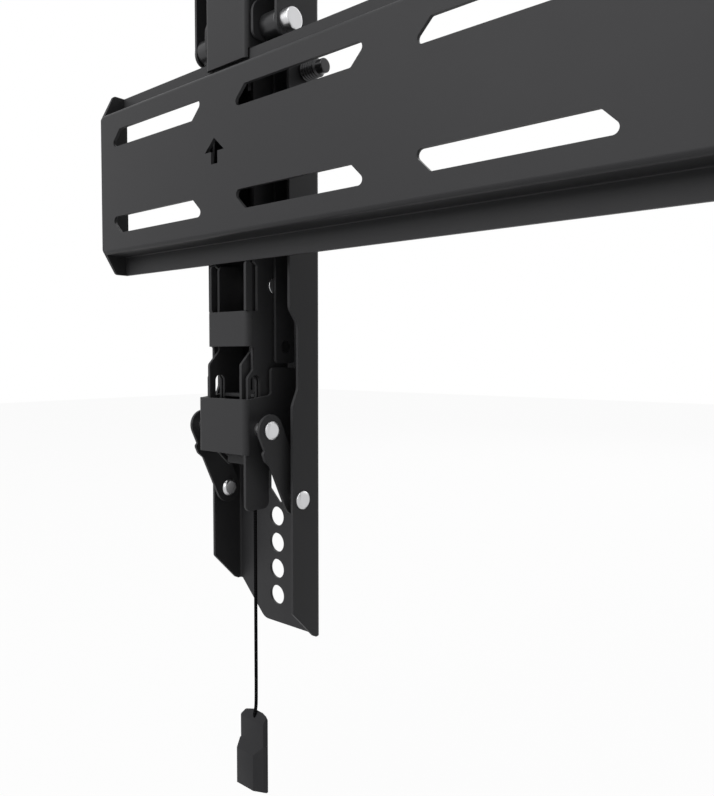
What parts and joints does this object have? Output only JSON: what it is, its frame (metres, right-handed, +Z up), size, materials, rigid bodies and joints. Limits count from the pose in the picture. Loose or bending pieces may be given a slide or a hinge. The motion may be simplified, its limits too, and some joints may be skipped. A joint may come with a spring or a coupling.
{
  "type": "tilting tv wall bracket",
  "caption": "Low-profile tilting wall bracket: slotted wall plate with two hook-on arms, tilting TV rails on link mechanisms and pull-cord release.",
  "frame": {"origin": "centre of the wall plate's wall face", "axes": "+X along the wall plate, +Y into the wall, +Z up"},
  "size_m": [0.5646, 0.0411, 0.4945],
  "materials": {
    "black_powder_coat": "satin",
    "zinc_steel": "satin",
    "black_screw": "satin",
    "black_cord": "matte",
    "black_plastic": "matte"
  },
  "bodies": {
    "wall_plate": {"wall_plate": "black_powder_coat"},
    "right_carriage": {"right_hook_bracket": "black_powder_coat", "right_guide_box": "black_powder_coat", "right_upper_rivet_right": "zinc_steel", "right_upper_rivet_left": "zinc_steel", "right_arm_rivet_right": "black_powder_coat", "right_arm_rivet_left": "black_powder_coat", "right_lock_spring": "zinc_steel"},
    "right_slider": {"right_lock_slider": "black_powder_coat", "right_pull_cord": "black_cord", "right_pull_handle": "black_plastic"},
    "right_arm": {"right_tilt_arm": "black_powder_coat"},
    "right_rail": {"right_tv_rail": "black_powder_coat", "right_pivot_bolt_right": "zinc_steel", "right_pivot_bolt_left": "zinc_steel", "right_pivot_spacer_right": "black_powder_coat", "right_pivot_spacer_left": "black_powder_coat", "right_lower_rivet_right": "zinc_steel", "right_lower_rivet_left": "zinc_steel", "right_side_screw": "black_screw"},
    "right_links": {"right_link_right": "black_powder_coat", "right_link_left": "black_powder_coat"},
    "left_carriage": {"left_hook_bracket": "black_powder_coat", "left_guide_box": "black_powder_coat", "left_upper_rivet_right": "zinc_steel", "left_upper_rivet_left": "zinc_steel", "left_arm_rivet_right": "black_powder_coat", "left_arm_rivet_left": "black_powder_coat", "left_lock_spring": "zinc_steel"},
    "left_slider": {"left_lock_slider": "black_powder_coat", "left_pull_cord": "black_cord", "left_pull_handle": "black_plastic"},
    "left_arm": {"left_tilt_arm": "black_powder_coat"},
    "left_rail": {"left_tv_rail": "black_powder_coat", "left_pivot_bolt_right": "zinc_steel", "left_pivot_bolt_left": "zinc_steel", "left_pivot_spacer_right": "black_powder_coat", "left_pivot_spacer_left": "black_powder_coat", "left_lower_rivet_right": "zinc_steel", "left_lower_rivet_left": "zinc_steel", "left_side_screw": "black_screw"},
    "left_links": {"left_link_right": "black_powder_coat", "left_link_left": "black_powder_coat"}
  },
  "joints": [
    {"name": "right_shift", "type": "slide", "parent": "wall_plate", "child": "right_carriage", "axis": [1, 0, 0], "range_m": [-0.15, 0.06]},
    {"name": "right_tilt", "type": "hinge", "parent": "right_carriage", "child": "right_arm", "pos_m": [0.2, -0.0305, -0.08025], "axis": [1, 0, 0], "range_deg": [0, 14.6]},
    {"name": "right_rail_turn", "type": "hinge", "parent": "right_arm", "child": "right_rail", "pos_m": [0.2, -0.021, 0.0554], "axis": [1, 0, 0], "range_deg": [-4.8, 0]},
    {"name": "right_links_turn", "type": "hinge", "parent": "right_carriage", "child": "right_links", "pos_m": [0.2, -0.0145, -0.1159], "axis": [1, 0, 0], "range_deg": [0, 0.6]},
    {"name": "right_unlock", "type": "slide", "parent": "right_carriage", "child": "right_slider", "axis": [0, 0, -1], "range_m": [0, 0.006], "stiffness_N_per_m": 250, "springref_m": -0.012, "deforming": ["right_lock_spring"]},
    {"name": "left_shift", "type": "slide", "parent": "wall_plate", "child": "left_carriage", "axis": [1, 0, 0], "range_m": [-0.06, 0.15]},
    {"name": "left_tilt", "type": "hinge", "parent": "left_carriage", "child": "left_arm", "pos_m": [-0.2, -0.0305, -0.08025], "axis": [1, 0, 0], "range_deg": [0, 14.6]},
    {"name": "left_rail_turn", "type": "hinge", "parent": "left_arm", "child": "left_rail", "pos_m": [-0.2, -0.021, 0.0554], "axis": [1, 0, 0], "range_deg": [-4.8, 0]},
    {"name": "left_links_turn", "type": "hinge", "parent": "left_carriage", "child": "left_links", "pos_m": [-0.2, -0.0145, -0.1159], "axis": [1, 0, 0], "range_deg": [0, 0.6]},
    {"name": "left_unlock", "type": "slide", "parent": "left_carriage", "child": "left_slider", "axis": [0, 0, -1], "range_m": [0, 0.006], "stiffness_N_per_m": 250, "springref_m": -0.012, "deforming": ["left_lock_spring"]}
  ],
  "couplings": [
    {"joint": "right_rail_turn", "follows": "right_tilt", "ratio": -0.3247},
    {"joint": "right_links_turn", "follows": "right_tilt", "ratio": 0.0367},
    {"joint": "left_rail_turn", "follows": "left_tilt", "ratio": -0.3247},
    {"joint": "left_links_turn", "follows": "left_tilt", "ratio": 0.0367}
  ]
}
